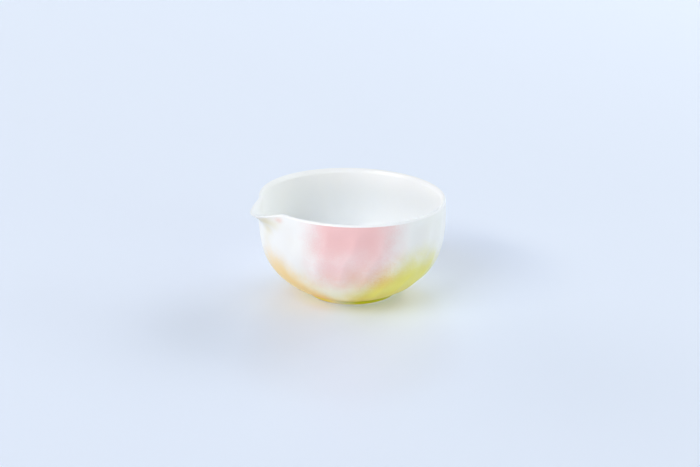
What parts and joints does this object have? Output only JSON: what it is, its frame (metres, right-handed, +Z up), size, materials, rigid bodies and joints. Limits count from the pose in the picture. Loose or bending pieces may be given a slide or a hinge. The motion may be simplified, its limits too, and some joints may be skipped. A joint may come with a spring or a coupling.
{
  "type": "pouring bowl",
  "caption": "Deep round porcelain dish on a low foot ring, open at the top, with one lip in the rim for pouring.",
  "frame": {"origin": "on the bowl's axis, in the plane of the foot ring's base", "axes": "+Z up along the bowl's axis; -X towards the tip of the lip; +Y completes the right-handed frame"},
  "size_m": [0.1296, 0.1204, 0.0658],
  "materials": {
    "porcelain": "fired white body, matte, under the glaze",
    "bare_porcelain": "unglazed and ground smooth, matte",
    "tinted_glaze": "glossy clear glaze over soft sprayed patches of pink, yellow-green and orange on white",
    "white_glaze": "glossy white glaze",
    "foot_tint_glaze": "glossy glaze over orange and olive tint"
  },
  "bodies": {
    "root": {"bowl_body": "porcelain", "pouring_lip": "porcelain", "foot_ring": "bare_porcelain", "outer_glaze": "tinted_glaze", "inner_glaze": "white_glaze", "rim_glaze": "white_glaze", "lip_outer_glaze": "tinted_glaze", "lip_inner_glaze": "white_glaze", "lip_rim_glaze": "white_glaze", "foot_glaze": "foot_tint_glaze", "recess_glaze": "white_glaze"}
  },
  "joints": []
}
